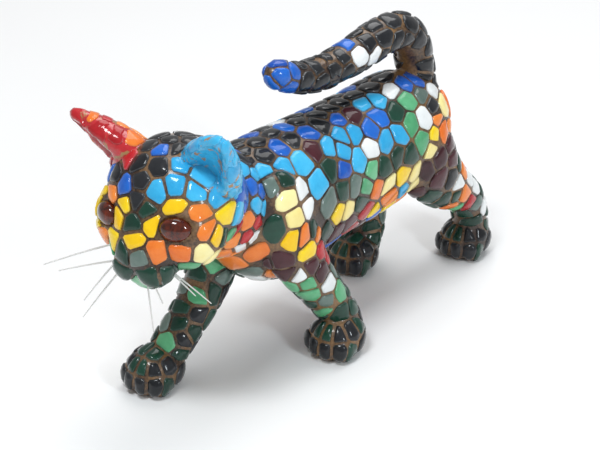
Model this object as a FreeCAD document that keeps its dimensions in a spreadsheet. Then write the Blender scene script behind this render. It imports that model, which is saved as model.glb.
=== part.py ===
import FreeCAD
import Part
import math
import os
import random

# Walking cat figure in broken-tile mosaic. Cast resin cores are pinned together, glazed tiles
# are set on them in courses, and two glass eyes and nylon whiskers finish the head.
# Millimetres. The cat faces -Y, its left side is +X, +Z is up, and the soles stand on Z = 0.

doc = FreeCAD.newDocument("MosaicCat")
Vector = FreeCAD.Vector
Rotation = FreeCAD.Rotation
Placement = FreeCAD.Placement
UP = Vector(0, 0, 1)
LEFT = Vector(1, 0, 0)
BACK = Vector(0, 1, 0)

# --- driving dimensions ---------------------------------------------------------------------

SIZES = [
    ("torso_length", 154, "chest to rump, over the bare core"),
    ("torso_width", 49, "bare core, widest"),
    ("torso_depth", 62, "bare core, withers to brisket"),
    ("torso_axis", 70.5, "height of the torso's axis above the soles"),
    ("leg_girth", 16, "diameter of a bare shin"),
    ("paw_length", 24, "heel to toe"),
    ("paw_width", 21, "across the toes"),
    ("paw_height", 19, "whole ellipsoid, before the sole is cut flat"),
    ("toe_width", 6.4, "one toe"),
    ("tail_girth", 12.6, "diameter of the bare tail at mid length"),
    ("skull_width", 54, "bare core, cheek to cheek"),
    ("skull_depth", 49, "crown to jaw"),
    ("skull_length", 50, "face to nape"),
    ("ear_width", 25, "across the base of an ear"),
    ("eye_width", 13.6, "glass cabochon"),
    ("eye_height", 10.6, "glass cabochon"),
    ("eye_bulge", 8.4, "whole depth of the cabochon"),
    ("whisker_girth", 0.9, "nylon monofilament"),
    ("pin_girth", 6, "joining pins between castings"),
    ("tile_thickness", 1.7, "glazed tile"),
    ("grout_joint", 1.5, "gap between neighbouring tiles"),
]

sheet = doc.addObject("Spreadsheet::Sheet", "Sizes")
for row, (alias, value, note) in enumerate(SIZES, start=1):
    sheet.set(f"A{row}", alias)
    sheet.set(f"B{row}", str(value))
    sheet.set(f"C{row}", note)
    sheet.setAlias(f"B{row}", alias)
doc.recompute()


def size(alias):
    """The value of one driving dimension."""
    return float(sheet.get(alias))


# --- pieces of geometry ---------------------------------------------------------------------


def facing(major, normal):
    """Rotation with its local X along major and its local Z along normal."""
    return Rotation(major, Vector(0, 0, 0), normal, "ZXY")


def bind(thing, **expressions):
    """Ties an object's sizes to cells of the sheet."""
    for name, expression in expressions.items():
        thing.setExpression(name, expression)
    return thing


def ring(name, centre, turn, major, minor):
    """One elliptical station of a loft, its radii tied to the sheet."""
    station = doc.addObject("Part::Ellipse", name)
    bind(station, MajorRadius=major, MinorRadius=minor)
    station.Placement = Placement(centre, turn)
    return station


def loft(name, stations):
    """A solid skinned through its stations."""
    made = doc.addObject("Part::Loft", name)
    made.Sections = stations
    made.Solid = True
    made.Ruled = False
    return made


def limb_frame(path, i):
    """Fore-and-aft, sideways and onward directions of a path at its station i."""
    before = Vector(*path[max(i - 1, 0)][0])
    after = Vector(*path[min(i + 1, len(path) - 1)][0])
    onward = (after - before).normalize()
    sideways = (LEFT - onward * LEFT.dot(onward)).normalize()
    return onward.cross(sideways), sideways, onward


def limb(name, path, girth):
    """A loft along a path of (point, fore-and-aft share, sideways share) stations.

    A station's two radii are shares of half the girth cell."""
    stations = []
    for i, (point, deep, wide) in enumerate(path):
        fore, sideways, onward = limb_frame(path, i)
        half = f"Sizes.{girth} / 2"
        turn = facing(fore, onward)
        major, minor = f"{half} * {deep}", f"{half} * {wide}"
        stations.append(ring(f"{name}_station_{i}", Vector(*point), turn, major, minor))
    return loft(name + "_loft", stations)


def ball(name, centre, wide, long, high, turn=None):
    """An ellipsoid with full sizes wide (X), long (Y) and high (Z), given as cell expressions."""
    made = doc.addObject("Part::Ellipsoid", name)
    made.Angle1 = -90
    made.Angle2 = 90
    bind(made, Radius2=f"({long}) / 2", Radius3=f"({wide}) / 2", Radius1=f"({high}) / 2")
    seam_behind = Rotation(UP, 90)
    made.Placement = Placement(Vector(*centre), (turn or Rotation()).multiply(seam_behind))
    return made


def fuse(name, shapes):
    made = doc.addObject("Part::MultiFuse", name)
    made.Shapes = shapes
    made.Refine = False
    return made


def cut(name, base, tool):
    made = doc.addObject("Part::Cut", name)
    made.Base = base
    made.Tool = tool
    made.Refine = False
    return made


def rod(name, start, end, diameter):
    """A round rod from start to end, its diameter tied to the sheet."""
    made = doc.addObject("Part::Cylinder", name)
    direction = Vector(*end) - Vector(*start)
    bind(made, Radius=f"({diameter}) / 2")
    made.Height = direction.Length
    made.Placement = Placement(Vector(*start), Rotation(UP, direction))
    return made


nodes = {}


def node(label, thing):
    """Holds a finished sub-part under the label that names its file."""
    holder = doc.addObject("Part::Compound", label)
    holder.Links = [thing]
    holder.Label = label
    nodes[label] = holder
    return holder


# --- torso ----------------------------------------------------------------------------------

# (distance along the torso, lift of the axis, width, depth), each a share of the torso's own size
TORSO_STATIONS = [
    (-0.500, 0.137, 0.14, 0.14),
    (-0.474, 0.120, 0.52, 0.46),
    (-0.419, 0.065, 0.78, 0.74),
    (-0.338, 0.005, 0.95, 0.96),
    (-0.234, -0.016, 1.02, 1.02),
    (-0.091, 0.011, 1.00, 0.95),
    (0.052, 0.021, 0.97, 0.93),
    (0.195, 0.037, 0.99, 0.92),
    (0.312, 0.066, 0.97, 0.89),
    (0.403, 0.080, 0.86, 0.78),
    (0.4675, 0.080, 0.64, 0.60),
    (0.500, 0.080, 0.18, 0.18),
]
TORSO_MIDDLE = 3.0


def torso_station(i):
    """Centre, half width and half depth of a station of the torso."""
    along, lift, wide, deep = TORSO_STATIONS[i]
    height = size("torso_axis") + lift * size("torso_depth")
    centre = Vector(0, TORSO_MIDDLE + along * size("torso_length"), height)
    return centre, wide * size("torso_width") / 2, deep * size("torso_depth") / 2


def make_torso():
    stations = []
    for i, (along, lift, wide, deep) in enumerate(TORSO_STATIONS):
        major, minor = f"Sizes.torso_depth / 2 * {deep}", f"Sizes.torso_width / 2 * {wide}"
        stations.append(ring(f"torso_station_{i}", torso_station(i)[0], facing(UP, BACK), major, minor))
    return loft("torso_loft", stations)


# --- legs -----------------------------------------------------------------------------------

# Each leg runs from its root inside the torso down to the wrist: (point, deep share, wide share)
LEG_PATHS = {
    "front_left": [
        ((15, -49, 93), 0.55, 0.45),
        ((16.5, -48, 86), 1.35, 0.85),
        ((17.5, -46, 75.5), 1.75, 1.12),
        ((18.5, -43, 63), 1.75, 1.16),
        ((20, -37, 50), 1.42, 1.06),
        ((21.5, -29, 37), 1.10, 0.98),
        ((23, -21, 25.5), 0.98, 0.95),
        ((25, -15.5, 15), 0.96, 0.95),
        ((26, -15.5, 8), 0.96, 0.95),
    ],
    "front_right": [
        ((-13, -48, 90), 0.55, 0.45),
        ((-14.5, -48, 82), 1.35, 0.90),
        ((-15.5, -50, 70), 1.75, 1.12),
        ((-14.5, -53, 57), 1.72, 1.16),
        ((-12.5, -58.5, 44), 1.36, 1.08),
        ((-12, -67, 32.5), 1.06, 1.00),
        ((-12.8, -77, 22.5), 0.95, 0.93),
        ((-13.8, -84.5, 14), 0.95, 0.94),
        ((-14.2, -88, 9), 0.95, 0.94),
    ],
    "rear_left": [
        ((13, 48, 92), 0.70, 0.50),
        ((14, 50, 84), 1.60, 0.90),
        ((15, 53, 73), 2.05, 1.22),
        ((16, 59, 61), 2.00, 1.26),
        ((16.5, 68.5, 50), 1.62, 1.15),
        ((16.5, 80, 41), 1.22, 1.02),
        ((16.2, 90, 33), 1.00, 0.94),
        ((16, 95.5, 23), 0.94, 0.92),
        ((15.5, 97, 13), 0.95, 0.93),
        ((15.3, 97, 7), 0.95, 0.93),
    ],
    "rear_right": [
        ((-12, 46, 92), 0.70, 0.50),
        ((-13.5, 46, 84), 1.60, 0.90),
        ((-14.5, 46, 72), 2.05, 1.20),
        ((-15.5, 46, 59), 1.95, 1.24),
        ((-16.5, 49, 46), 1.55, 1.12),
        ((-17, 54.5, 35), 1.16, 1.00),
        ((-17.2, 57, 24), 0.96, 0.93),
        ((-17.2, 54.5, 14), 0.95, 0.94),
        ((-17.2, 51, 8), 0.95, 0.94),
    ],
}
PAW_CENTRES = {
    "front_left": (27.0, -19.4, 8.2),
    "front_right": (-14.6, -92.0, 8.2),
    "rear_left": (14.8, 95.4, 8.2),
    "rear_right": (-17.2, 46.6, 8.2),
}
# The toes of a paw: (share of the paw's width aside, share of its length ahead)
TOES = [(-0.37, -0.25), (-0.13, -0.36), (0.13, -0.36), (0.37, -0.25)]
TOE_LIFT = 6.2
SOLE_DEPTH = 30


def toe_centre(leg, toe):
    x, y, z = PAW_CENTRES[leg]
    aside, ahead = TOES[toe]
    return Vector(x + aside * size("paw_width"), y + ahead * size("paw_length"), TOE_LIFT)


def make_leg(name, torso):
    """Shank, paw and four toes fused, the sole cut flat, and the root let into the torso."""
    x, y, z = PAW_CENTRES[name]
    shank = limb(name, LEG_PATHS[name], "leg_girth")
    paw = ball(name + "_paw", (x, y, z), "Sizes.paw_width", "Sizes.paw_length", "Sizes.paw_height")
    toes = []
    for i in range(len(TOES)):
        girths = ("Sizes.toe_width", "Sizes.toe_width * 1.4", "Sizes.toe_width * 1.75")
        toes.append(ball(f"{name}_toe_{i}", tuple(toe_centre(name, i)), *girths))
    whole = fuse(name + "_fused", [shank, paw] + toes)
    floor = doc.addObject("Part::Box", name + "_floor")
    floor.Length = 120
    floor.Width = 120
    floor.Height = SOLE_DEPTH
    floor.Placement.Base = Vector(x - 60, y - 60, -SOLE_DEPTH)
    return cut(name + "_flat_sole", whole, floor)


# --- tail -----------------------------------------------------------------------------------

TAIL_PATH = [
    ((0, 64, 80), 1.42, 1.42),
    ((0, 68, 88), 1.38, 1.38),
    ((0, 69.2, 97), 1.28, 1.28),
    ((0, 67.8, 107), 1.22, 1.22),
    ((0, 64.3, 115.5), 1.22, 1.22),
    ((0, 56, 122.6), 1.24, 1.24),
    ((0, 45.5, 124.4), 1.22, 1.22),
    ((0, 28, 122.0), 1.12, 1.12),
    ((0, 10, 119.8), 1.02, 1.02),
    ((0, -10, 120.6), 0.92, 0.92),
    ((0, -22, 124.4), 0.84, 0.84),
    ((0, -29.5, 127.8), 0.74, 0.74),
    ((0, -32.6, 129.3), 0.44, 0.44),
    ((0, -33.6, 129.8), 0.12, 0.12),
]

# --- head -----------------------------------------------------------------------------------

SKULL_CENTRE = Vector(0, -90, 93)
HEAD_YAW = 5.7
HEAD_ROLL = -4.0
# Sections of the skull from nape to nose: (distance back from its centre, lift, width, height)
SKULL_STATIONS = [
    (25.2, 0.0, 0.12, 0.12),
    (23.5, 0.0, 0.41, 0.41),
    (17.0, 0.0, 0.76, 0.76),
    (7.0, 0.0, 0.97, 0.97),
    (-4.0, 0.0, 1.00, 0.99),
    (-14.0, -1.5, 0.91, 0.92),
    (-21.0, -5.5, 0.69, 0.73),
    (-26.0, -10.5, 0.47, 0.50),
    (-29.0, -13.0, 0.32, 0.32),
    (-30.8, -14.0, 0.13, 0.12),
]
# The lumps blended into it: (name, place from the skull's centre, width, length, height)
HEAD_LUMPS = [
    ("left_cheek", (14.0, -11.5, -6), 0.52, 0.54, 0.60),
    ("right_cheek", (-14.0, -11.5, -6), 0.52, 0.54, 0.60),
    ("left_pad", (5.6, -23.5, -19.4), 0.27, 0.28, 0.28),
    ("right_pad", (-5.6, -23.5, -19.4), 0.27, 0.28, 0.28),
    ("chin", (0, -19, -23.5), 0.28, 0.30, 0.28),
]
NECK_CENTRE = (0, -70, 84)
EYE_CENTRE = (16.8, -21.6, -1.8)
EYE_TURN_OUT = 27
EYE_TURN_UP = 6
EYE_SLANT = 8
HEAD_TURN = Rotation(UP, HEAD_YAW).multiply(Rotation(BACK, HEAD_ROLL))


def head_point(x, y, z):
    """A place given from the skull's centre, carried with the turn of the head."""
    return SKULL_CENTRE + HEAD_TURN.multVec(Vector(x, y, z))


def head_ball(name, place, wide, long, high, turn=None):
    across = f"Sizes.skull_width * {wide}"
    along = f"Sizes.skull_length * {long}"
    tall = f"Sizes.skull_depth * {high}"
    return ball(name, tuple(head_point(*place)), across, along, tall, HEAD_TURN)


def make_skull():
    stations = []
    turn = HEAD_TURN.multiply(facing(LEFT, BACK))
    for i, (back, lift, wide, high) in enumerate(SKULL_STATIONS):
        major, minor = f"Sizes.skull_width / 2 * {wide}", f"Sizes.skull_depth / 2 * {high}"
        stations.append(ring(f"skull_station_{i}", head_point(0, back, lift), turn, major, minor))
    return loft("skull_loft", stations)


def make_eye(name, side):
    """A glass cabochon, turned out, up and slanted."""
    x, y, z = EYE_CENTRE
    out_turn = Rotation(UP, side * EYE_TURN_OUT)
    up_turn = Rotation(LEFT, EYE_TURN_UP)
    slant = Rotation(BACK, side * EYE_SLANT)
    turn = HEAD_TURN.multiply(out_turn).multiply(up_turn).multiply(slant)
    girths = ("Sizes.eye_width", "Sizes.eye_bulge", "Sizes.eye_height")
    return ball(name, tuple(head_point(side * x, y, z)), *girths, turn)


# An ear is a cup on a tilted axis: base and tip of the axis, and where its hollow looks.
EARS = {
    "left_ear": ((17, -88.5, 108), (35, -100, 131), (0.35, -0.92, 0.05)),
    "right_ear": ((-20, -94, 107), (-43, -105, 124), (-0.45, -0.80, -0.30)),
}
# Share of the ear's height, and its width there
EAR_PROFILE = [
    (0.0, 1.00),
    (0.18, 1.00),
    (0.42, 0.86),
    (0.66, 0.62),
    (0.86, 0.34),
    (0.97, 0.15),
    (1.0, 0.05),
]
EAR_FLATNESS = 0.60
HOLLOW_SET = 0.26


def ear_frame(name):
    """Base, whole axis, the way the hollow looks, and across the ear."""
    base, tip, look = (Vector(*v) for v in EARS[name])
    along = (tip - base).normalize()
    face = (look - along * look.dot(along)).normalize()
    return base, tip - base, face, along.cross(face)


def make_ear(name):
    base, axis, face, across = ear_frame(name)
    turn = facing(across, axis)
    outer, inner = [], []
    for i, (share, wide) in enumerate(EAR_PROFILE):
        half = f"Sizes.ear_width / 2 * {wide}"
        middle = base + axis * share
        outer.append(ring(f"{name}_outer_{i}", middle, turn, half, f"{half} * {EAR_FLATNESS}"))
        if 0.1 < share < 0.9:
            hollow = middle + face * size("ear_width") * HOLLOW_SET * wide
            inner.append(ring(f"{name}_inner_{i}", hollow, turn, f"{half} * 0.70", f"{half} * 0.48"))
    return cut(name + "_cup", loft(name + "_outer", outer), loft(name + "_inner", inner))


# --- whiskers and pins ----------------------------------------------------------------------

# Root on the whisker pad, direction and free length of each bristle
WHISKERS = {
    "left": [
        ((8.0, -115.0, 71.0), (2, 5, -15), 15.5),
        ((7.2, -115.8, 70.2), (2, 0.6, -25), 25),
        ((12.6, -109.6, 72.6), (11, 4.4, -10), 15.5),
        ((13.4, -108.4, 71.6), (13, 8.8, -13.6), 21),
    ],
    "right": [
        ((-13.0, -116.5, 77.4), (-22, -15, -10), 29),
        ((-11.5, -117.5, 71.0), (-18, -10, -6), 23),
        ((-10.0, -117.5, 69.8), (-10, -6.7, -15.8), 21),
        ((-9.0, -115.0, 66.5), (-13, -8, -21), 28),
    ],
}
WHISKER_SUNK = 3.0

PINS = {
    "neck_pin": ((0, -82, 86), (0, -58, 78)),
    "tail_pin": ((0, 66, 86), (0, 58, 70)),
    "front_left_pin": ((20, -42, 56), (8, -47, 70)),
    "front_right_pin": ((-15, -54, 54), (-6, -48, 68)),
    "rear_left_pin": ((17, 62, 56), (8, 46, 70)),
    "rear_right_pin": ((-16, 47, 52), (-7, 44, 68)),
}


def make_whiskers(side):
    bristles = []
    for i, (root, towards, length) in enumerate(WHISKERS[side]):
        direction = Vector(*towards).normalize()
        start = Vector(*root) - direction * WHISKER_SUNK
        end = Vector(*root) + direction * length
        bristles.append(rod(f"{side}_whisker_{i}", tuple(start), tuple(end), "Sizes.whisker_girth"))
    made = doc.addObject("Part::Compound", side + "_whisker_set")
    made.Links = bristles
    return made


def build_cores():
    """Makes every casting; returns the whole shapes that the tiles are laid on."""
    torso = make_torso()
    neck_girths = ("Sizes.skull_width * 0.80", "Sizes.skull_length * 0.80", "Sizes.skull_depth * 0.92")
    neck = ball("neck", NECK_CENTRE, *neck_girths)
    lumps = [head_ball(*lump) for lump in HEAD_LUMPS]
    head = fuse("head_and_neck", [make_skull()] + lumps + [neck])
    for name, side in (("left_eye", 1), ("right_eye", -1)):
        eye = make_eye(name + "_glass", side)
        head = cut(f"head_with_{name}_socket", head, eye)
        node(name, eye)
    head_let_in = cut("head_let_in", head, torso)
    legs = {name: make_leg(name, torso) for name in LEG_PATHS}
    tail = limb("tail", TAIL_PATH, "tail_girth")
    tail_let_in = cut("tail_let_in", tail, torso)
    pins = {}
    for name, (start, end) in PINS.items():
        pins[name] = rod(name + "_rod", start, end, "Sizes.pin_girth")
    node("torso_core", cut("torso_drilled", torso, fuse("all_pins", list(pins.values()))))
    bristles = {side: make_whiskers(side) for side in WHISKERS}
    head_drilled = cut("head_drilled", head_let_in, pins["neck_pin"])
    for side, made in bristles.items():
        head_drilled = cut(f"head_pricked_{side}", head_drilled, made)
        node(side + "_whiskers", made)
    node("head_core", head_drilled)
    node("tail_core", cut("tail_drilled", tail_let_in, pins["tail_pin"]))
    for name, leg in legs.items():
        let_in = cut(name + "_let_in", leg, torso)
        node(name + "_leg_core", cut(name + "_drilled", let_in, pins[name + "_pin"]))
    ears = {name: make_ear(name) for name in EARS}
    for name, ear in ears.items():
        node(name, cut(name + "_let_in", ear, head))
    for name, pin in pins.items():
        node(name, pin)
    return {"torso": torso, "head": head, "tail": tail, **legs, **ears}


bodies = build_cores()
doc.recompute()

# --- tile courses ---------------------------------------------------------------------------

COLOURS = {
    "K": "black",
    "B": "cobalt",
    "C": "cyan",
    "W": "white",
    "G": "dark_green",
    "L": "light_green",
    "E": "grey_green",
    "Y": "yellow",
    "M": "cream",
    "O": "orange",
    "R": "red",
    "P": "plum",
}
OUTSIDE = 4.0
NEAREST = 5.4
FILL_NEAREST = 6.9
# The furthest a corner lies from the middle of its tile, group by group
WIDEST = {"torso": 7.4, "head": 7.0, "legs": 6.0, "tail": 5.2, "ears": 5.4}
PAW_WIDEST = 4.7
PAW_TOP = 15
REACH = 17.0
SMALLEST_AREA = 7.0
FLOOR_GAP = 0.5
chance = random.Random(1907)


def torso_section(y):
    """Centre, half width and half depth of the torso at a distance y."""
    sections = [torso_station(i) for i in range(len(TORSO_STATIONS))]
    for (near, near_wide, near_deep), (far, far_wide, far_deep) in zip(sections, sections[1:]):
        if near.y <= y <= far.y:
            share = (y - near.y) / (far.y - near.y)
            centre = near + (far - near) * share
            wide = near_wide + (far_wide - near_wide) * share
            deep = near_deep + (far_deep - near_deep) * share
            return centre, wide, deep
    return sections[-1]


def in_ellipsoid(point, centre, turn, wide, long, high):
    """Below 1 inside an ellipsoid of the given full sizes, 1 on it, more outside."""
    local = turn.inverted().multVec(point - centre)
    return (2 * local.x / wide) ** 2 + (2 * local.y / long) ** 2 + (2 * local.z / high) ** 2


def in_torso(point):
    if not -74 < point.y < 80:
        return 9.0
    centre, wide, deep = torso_section(point.y)
    return (point.x / wide) ** 2 + ((point.z - centre.z) / deep) ** 2


def in_limb(point, path, half):
    best = 9.0
    for i in range(len(path) - 1):
        start, end = Vector(*path[i][0]), Vector(*path[i + 1][0])
        run = end - start
        share = (point - start).dot(run) / run.dot(run)
        if -0.1 <= share <= 1.1:
            share = min(max(share, 0), 1)
            fore, sideways, _ = limb_frame(path, i)
            arm = point - (start + run * share)
            deep = half * (path[i][1] + (path[i + 1][1] - path[i][1]) * share)
            wide = half * (path[i][2] + (path[i + 1][2] - path[i][2]) * share)
            best = min(best, (arm.dot(fore) / deep) ** 2 + (arm.dot(sideways) / wide) ** 2)
    return best


def in_leg(point, name):
    inside = in_limb(point, LEG_PATHS[name], size("leg_girth") / 2)
    paw = (size("paw_width"), size("paw_length"), size("paw_height"))
    inside = min(inside, in_ellipsoid(point, Vector(*PAW_CENTRES[name]), Rotation(), *paw))
    width = size("toe_width")
    toe = (width, width * 1.4, width * 1.75)
    for i in range(len(TOES)):
        inside = min(inside, in_ellipsoid(point, toe_centre(name, i), Rotation(), *toe))
    return inside


def in_head(point):
    wide, long, high = size("skull_width"), size("skull_length"), size("skull_depth")
    inside = in_ellipsoid(point, Vector(*NECK_CENTRE), Rotation(), wide * 0.80, long * 0.80, high * 0.92)
    local = HEAD_TURN.inverted().multVec(point - SKULL_CENTRE)
    for (back, lift, w, h), (back_2, lift_2, w_2, h_2) in zip(SKULL_STATIONS, SKULL_STATIONS[1:]):
        if back_2 <= local.y <= back:
            share = (local.y - back) / (back_2 - back)
            half_wide = wide / 2 * (w + (w_2 - w) * share)
            half_high = high / 2 * (h + (h_2 - h) * share)
            drop = local.z - lift - (lift_2 - lift) * share
            inside = min(inside, (local.x / half_wide) ** 2 + (drop / half_high) ** 2)
    for _, place, w, l, h in HEAD_LUMPS:
        lump = (wide * w, long * l, high * h)
        inside = min(inside, in_ellipsoid(point, head_point(*place), HEAD_TURN, *lump))
    return inside


def in_ear(point, name):
    base, axis, face, across = ear_frame(name)
    share = (point - base).dot(axis) / axis.dot(axis)
    if not 0 <= share <= 1:
        return 9.0
    arm = point - (base + axis * share)
    reach = size("ear_width") / 2 * (1.0 - 0.85 * max(share - 0.15, 0) / 0.85)
    in_hollow = (arm - face * reach * 2 * HOLLOW_SET).dot(face) / (reach * 0.48)
    if in_hollow ** 2 + (arm.dot(across) / (reach * 0.7)) ** 2 < 1:
        return 9.0
    return (arm.dot(across) / reach) ** 2 + (arm.dot(face) / (reach * EAR_FLATNESS)) ** 2


def in_tail(point):
    return in_limb(point, TAIL_PATH, size("tail_girth") / 2)


INSIDE = {"torso": in_torso, "head": in_head, "tail": in_tail}
INSIDE.update({leg: (lambda point, leg=leg: in_leg(point, leg)) for leg in LEG_PATHS})
INSIDE.update({ear: (lambda point, ear=ear: in_ear(point, ear)) for ear in EARS})
boxes = {name: body.Shape.BoundBox for name, body in bodies.items()}


def covered(point, own, limit=1.0):
    """Whether a point lies inside a casting other than the one being tiled."""
    for name, inside in INSIDE.items():
        if name != own and boxes[name].isInside(point) and inside(point) < limit:
            return True
    return False


class Tile:
    """Where one tile sits: its place on a core, the way it faces, its colour and its group."""

    def __init__(self, place, facing_out, guide, colour, group):
        self.place = place
        self.out = facing_out
        self.guide = guide
        self.colour = colour
        self.group = group


tiles = []


def lay(own, group, guide, colour, nearest):
    """Sets a tile on the spot of a casting that is nearest to a guide point just outside it."""
    if covered(guide, own) or any((guide - other.guide).Length < nearest for other in tiles):
        return
    distance, pairs, _ = bodies[own].Shape.distToShape(Part.Vertex(guide))
    place = pairs[0][0]
    if distance < 0.3 or place.z < 2.2:
        return
    out = (guide - place).normalize()
    if covered(place + out * 0.9, own) or any((place - other.place).Length < nearest for other in tiles):
        return
    tiles.append(Tile(place, out, guide, colour, group))


def spread(amount):
    return chance.uniform(-amount, amount)


# Courses run from chest to rump; the first lies on the spine, the next ones 20 degrees apart.
LEFT_COURSES = [
    "KKKKBKKKKKKKKBK",
    "KKBKBKBPCCWBBCC",
    "PCCCPCCCBBGLEWC",
    "CGBCGBCWCCLWOMO",
    "CGGLEGELGGGLYOY",
    "RWWGYMGOMYMWOYP",
    "ORWOYPPRYOCMOPP",
    "ROWWGBRPBYOPRGG",
    "OWRGPBRGPORGBPG",
    "GWGPGBGRGPGGBGP",
]
RIGHT_COURSES = [
    "",
    "KKBKWKBKKBKKBKK",
    "KBCKCCBKCPCBCKC",
    "CCPCBCCCWCBCGLC",
    "BGCLCGBLCGLOLWM",
    "GLGEGWLGOGLYOMO",
    "RWOGYMLOGYMOYRP",
    "OYRWOPRYOPRMPOG",
    "RGOWPRBGRPOGBPG",
]
COURSE_ANGLE = 20
COURSE_START = -63.0
COURSE_PITCH = 9.7


def lay_torso(nearest, shift):
    for side, courses in ((1, LEFT_COURSES), (-1, RIGHT_COURSES)):
        for k, course in enumerate(courses):
            for j, letter in enumerate(course):
                y = COURSE_START + (j + shift + 0.5 * (k % 2)) * COURSE_PITCH + spread(2.2)
                angle = math.radians(COURSE_ANGLE * (k + shift) + spread(4.6))
                centre, wide, deep = torso_section(min(max(y, -73), 79))
                lean = (y - 66) * 0.12 if y > 66 else min(y + 58, 0) * 0.1
                aside = side * math.sin(angle) * (wide + OUTSIDE)
                guide = Vector(aside, y + lean, centre.z + math.cos(angle) * (deep + OUTSIDE))
                lay("torso", "torso", guide, letter, nearest)


# Rings of a limb from its root down; each starts at the front (a tail: at its outer side) and
# goes round by way of the cat's left.
LEG_RINGS = {
    "front_left": [
        "WGCGGE", "MWYGEG", "OMWGYO", "YOMPGR", "PYOPRB",
        "PRPBPO", "LPRBGP", "LWELGG", "GELGEG", "GEGGKG",
    ],
    "front_right": [
        "OWRGLG", "GWORGE", "GLGEWG", "WGLGEG", "GLGEGG",
        "LGEGGL", "GEGLGG", "LGGKGE", "GKGGEG", "GGKGGE",
    ],
    "rear_left": [
        "OCWMCG", "MOYMOC", "OMOYMO", "PPPRPO", "PPPPPP",
        "GKGCCW", "GWORGE", "OWRWGL", "LRWGOG", "GEGEGL",
    ],
    "rear_right": [
        "GKOGYL", "GOGYMO", "KGGOYM", "GKGPPR", "GGKPPG",
        "KGGGLG", "GKGEGG", "GGKGKG", "KGEGGK", "GKGGKG",
    ],
}
TAIL_RINGS = {
    0: "KKKKKK",
    1: "KKBKKK",
    2: "KKKKKB",
    9: "KWKKKK",
    10: "BWKKBK",
    15: "BBKKKB",
    16: "BBBBBB",
    17: "BBBBBB",
}
RING_PITCH = 8.6
TILE_PITCH = 8.2


def walk(path):
    """Yields evenly spaced (point, fore, sideways, deep share, wide share) along a path."""
    travelled, due = 0.0, 0.0
    for i in range(len(path) - 1):
        start, end = Vector(*path[i][0]), Vector(*path[i + 1][0])
        length = (end - start).Length
        while due <= travelled + length:
            share = (due - travelled) / length
            fore, sideways, _ = limb_frame(path, i)
            deep = path[i][1] + (path[i + 1][1] - path[i][1]) * share
            wide = path[i][2] + (path[i + 1][2] - path[i][2]) * share
            yield start + (end - start) * share, fore, sideways, deep, wide
            due += RING_PITCH
        travelled += length


def lay_limb(own, group, path, half, rings, nearest, shift):
    for r, (point, fore, sideways, deep, wide) in enumerate(walk(path)):
        girth = math.pi * half * (deep + wide)
        count = max(4, round(girth / TILE_PITCH))
        colours = rings.get(r, rings[0])
        for j in range(count):
            angle = 2 * math.pi * (j + 0.5 * (r % 2) + shift) / count + spread(0.22)
            arm = fore * math.cos(angle) * (half * deep + OUTSIDE)
            arm = arm + sideways * math.sin(angle) * (half * wide + OUTSIDE)
            guide = point + arm + fore.cross(sideways) * (spread(1.7) + shift * RING_PITCH)
            lay(own, group, guide, colours[j * len(colours) // count], nearest)


def lay_paw(leg):
    """One tall tile down each toe, a row over the knuckles, and a band round the heel."""
    x, y, z = PAW_CENTRES[leg]
    for i in range(len(TOES)):
        centre = toe_centre(leg, i)
        aside = TOES[i][0]
        lay(leg, "legs", centre + Vector(aside * 9, -9, 1.4), "K", 3.6)
        lay(leg, "legs", centre + Vector(aside * 5, -4.5, 10), "KGGK"[i], 4.4)
    for aside in (-4.5, 4.5):
        lay(leg, "legs", Vector(x + aside, y - 4, z + 13), "G", 4.6)
    half_wide = size("paw_width") / 2 + OUTSIDE
    half_long = size("paw_length") / 2 + OUTSIDE
    for j in range(9):
        angle = math.radians(40 * j - 160)
        arm = Vector(math.sin(angle) * half_wide, -math.cos(angle) * half_long, 0)
        lay(leg, "legs", Vector(x, y, z - 3) + arm, "GKGGKGGKG"[j], NEAREST)
        lay(leg, "legs", Vector(x, y, z + 7) + arm * 0.72, "KGKGGGKGK"[j], NEAREST)


# Face tiles, placed from the skull's centre just outside the head: (x, y, z, colour)
FACE = [
    (0, -30, 1, "G"), (2.5, -33, -5.5, "Y"), (-5.5, -33, -12, "G"), (5.5, -33, -12, "E"),
    (-7.5, -33, -22, "G"), (8.5, -32, -21, "G"), (0, -31, -28.5, "L"), (0, -20, -36, "G"),
    (14.5, -25, -20, "G"), (18.5, -20, -22, "L"), (10, -19, -33, "G"), (-10, -19, -33, "G"),
    (-15, -27, -15, "L"), (-16, -21, -22, "G"), (10, -30, 2, "Y"), (19, -24.5, 8, "Y"),
    (27.5, -18, 6.5, "O"), (11.5, -30, -10, "O"), (20.5, -26, -10.5, "O"), (28, -17, -1.5, "O"),
    (31, -12, -7, "Y"), (27, -18, -11.5, "M"), (33, -4, 0, "Y"), (32, -4, -11, "G"),
    (22, -17, -20, "M"), (27, -9, -19, "M"), (30, 2, -17, "L"), (32, 6, -5, "C"),
    (9, -25, 14.5, "C"), (16, -20, 16.5, "C"), (14, -11, 24, "C"), (23, -14, 14, "C"),
    (29, -6, 9.5, "C"), (29, 5, 11, "C"), (-10, -30, 2, "Y"), (-17.5, -25, 8.5, "O"),
    (-24.5, -20, 6, "Y"), (-11.5, -30, -10, "Y"), (-20.5, -26, -10.5, "O"), (-28, -17, -1.5, "Y"),
    (-31, -11, -7, "O"), (-27, -18, -12, "M"), (-32, -3, 2, "O"), (-9, -26, 14, "B"),
    (-17, -20, 16, "K"), (-25, -14, 13, "B"), (-12, -16, 23, "R"), (0, -28, 9.5, "K"),
    (0, -24, 17.5, "K"), (5.5, -17, 22.5, "K"), (-4.5, -18, 23, "K"), (2, -9.5, 27.5, "B"),
    (-6, -8, 28, "K"), (8.5, -5.5, 27.5, "K"), (0, -1, 29.5, "K"), (-8, 2, 28, "K"),
    (7, 4, 28, "K"), (0, 9, 27.5, "K"),
]
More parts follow.
